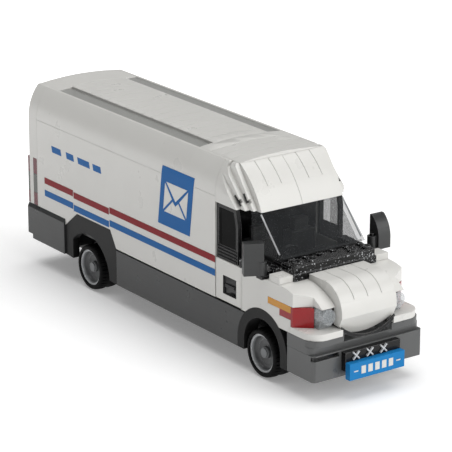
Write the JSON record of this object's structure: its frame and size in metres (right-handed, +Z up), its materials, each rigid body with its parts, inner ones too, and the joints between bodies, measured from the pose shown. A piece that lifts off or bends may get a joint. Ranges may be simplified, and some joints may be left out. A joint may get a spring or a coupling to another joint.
{
  "type": "mail delivery truck",
  "caption": "Toy-scale high-roof mail delivery van built of bricks, with rolling axles, hinged cab and rear doors, folding mirrors, sloped windscreen and striped sides.",
  "frame": {"origin": "middle of the van's footprint on the ground, at the centre of the whole object's bounding box", "axes": "+Z up; the front of the van faces -Y; +X is the van's left side"},
  "size_m": [0.0817, 0.2544, 0.0984],
  "materials": {
    "white_brick": "glossy moulded ABS, white",
    "dark_grey_brick": "glossy moulded ABS, dark bluish grey",
    "mid_grey_brick": "glossy moulded ABS, mid grey",
    "black_brick": "glossy moulded ABS, black",
    "light_grey_brick": "glossy moulded ABS, light grey",
    "strip_grey": "glossy moulded ABS, grille tile grey",
    "hub_silver": "moulded ABS, flat silver",
    "axle_grey": "moulded nylon, grey",
    "tyre_rubber": "soft black rubber, satin",
    "smoked_clear": "transparent smoked polycarbonate",
    "lens_clear": "transparent clear polycarbonate",
    "lens_amber": "transparent amber polycarbonate",
    "lens_red": "transparent red polycarbonate",
    "print_blue": "printed film, blue",
    "print_red": "printed film, red and blue bands",
    "plate_blue": "glossy moulded ABS tile, medium blue"
  },
  "bodies": {
    "van_body": {"chassis_frame": "dark_grey_brick", "axle_holders": "black_brick", "side_skirt_right": "dark_grey_brick", "side_skirt_left": "dark_grey_brick", "rear_skirt": "dark_grey_brick", "front_arch_right": "black_brick", "front_arch_left": "black_brick", "rear_arch_right": "dark_grey_brick", "rear_arch_left": "dark_grey_brick", "bumper": "mid_grey_brick", "bumper_top_plates": "mid_grey_brick", "plate_bracket": "black_brick", "grille_lattice": "light_grey_brick", "number_plate": "plate_blue", "lip_plates": "white_brick", "bonnet": "white_brick", "fender_right": "white_brick", "fender_left": "white_brick", "headlamps": "lens_clear", "indicators": "lens_amber", "corner_lamps": "lens_red", "fender_tiles": "white_brick", "cowl": "black_brick", "dashboard": "black_brick", "seats": "dark_grey_brick", "windscreen": "smoked_clear", "visor_right": "white_brick", "visor_left": "white_brick", "header_cheeks": "white_brick", "mirror_arms": "black_brick", "bulkhead": "black_brick", "side_wall_right": "white_brick", "side_wall_left": "white_brick", "roof_slope_right": "white_brick", "roof_slope_left": "white_brick", "roof_deck": "white_brick", "roof_strips": "strip_grey", "rear_portal": "white_brick", "rear_lamps": "lens_red", "side_stripes": "print_red", "emblem_panels": "print_blue"},
    "front_wheels": {"front_axle": "axle_grey", "front_hub_right": "hub_silver", "front_hub_left": "hub_silver", "front_tyre_right": "tyre_rubber", "front_tyre_left": "tyre_rubber"},
    "rear_wheels": {"rear_axle": "axle_grey", "rear_hub_right": "hub_silver", "rear_hub_left": "hub_silver", "rear_tyre_right": "tyre_rubber", "rear_tyre_left": "tyre_rubber"},
    "cab_door_right": {"cab_door_right": "white_brick", "door_window_right": "smoked_clear"},
    "cab_door_left": {"cab_door_left": "white_brick", "door_window_left": "smoked_clear"},
    "rear_door_right": {"rear_door_right": "white_brick"},
    "rear_door_left": {"rear_door_left": "white_brick"},
    "mirror_right": {"mirror_right": "dark_grey_brick"},
    "mirror_left": {"mirror_left": "dark_grey_brick"},
    "steering_wheel": {"steering_wheel": "black_brick"}
  },
  "joints": [
    {"name": "front_axle_spin", "type": "hinge", "parent": "van_body", "child": "front_wheels", "pos_m": [0, -0.0798, 0.012], "axis": [1, 0, 0], "continuous": true},
    {"name": "rear_axle_spin", "type": "hinge", "parent": "van_body", "child": "rear_wheels", "pos_m": [0, 0.0692, 0.012], "axis": [1, 0, 0], "continuous": true},
    {"name": "cab_door_right_swing", "type": "hinge", "parent": "van_body", "child": "cab_door_right", "pos_m": [-0.03, -0.0636, 0.04], "axis": [0, 0, 1], "range_deg": [0, 70]},
    {"name": "cab_door_left_swing", "type": "hinge", "parent": "van_body", "child": "cab_door_left", "pos_m": [0.03, -0.0636, 0.04], "axis": [0, 0, -1], "range_deg": [0, 70]},
    {"name": "rear_door_right_swing", "type": "hinge", "parent": "van_body", "child": "rear_door_right", "pos_m": [-0.0252, 0.124, 0.057], "axis": [0, 0, 1], "range_deg": [0, 95]},
    {"name": "rear_door_left_swing", "type": "hinge", "parent": "van_body", "child": "rear_door_left", "pos_m": [0.0252, 0.124, 0.057], "axis": [0, 0, -1], "range_deg": [0, 95]},
    {"name": "mirror_right_fold", "type": "hinge", "parent": "van_body", "child": "mirror_right", "pos_m": [-0.0324, -0.0816, 0.055], "axis": [0, 0, -1], "range_deg": [-15, 70]},
    {"name": "mirror_left_fold", "type": "hinge", "parent": "van_body", "child": "mirror_left", "pos_m": [0.0324, -0.0816, 0.055], "axis": [0, 0, 1], "range_deg": [-15, 70]},
    {"name": "steering_wheel_turn", "type": "hinge", "parent": "van_body", "child": "steering_wheel", "pos_m": [-0.012, -0.0733, 0.055], "axis": [0, -0.8829, -0.4695], "continuous": true}
  ]
}
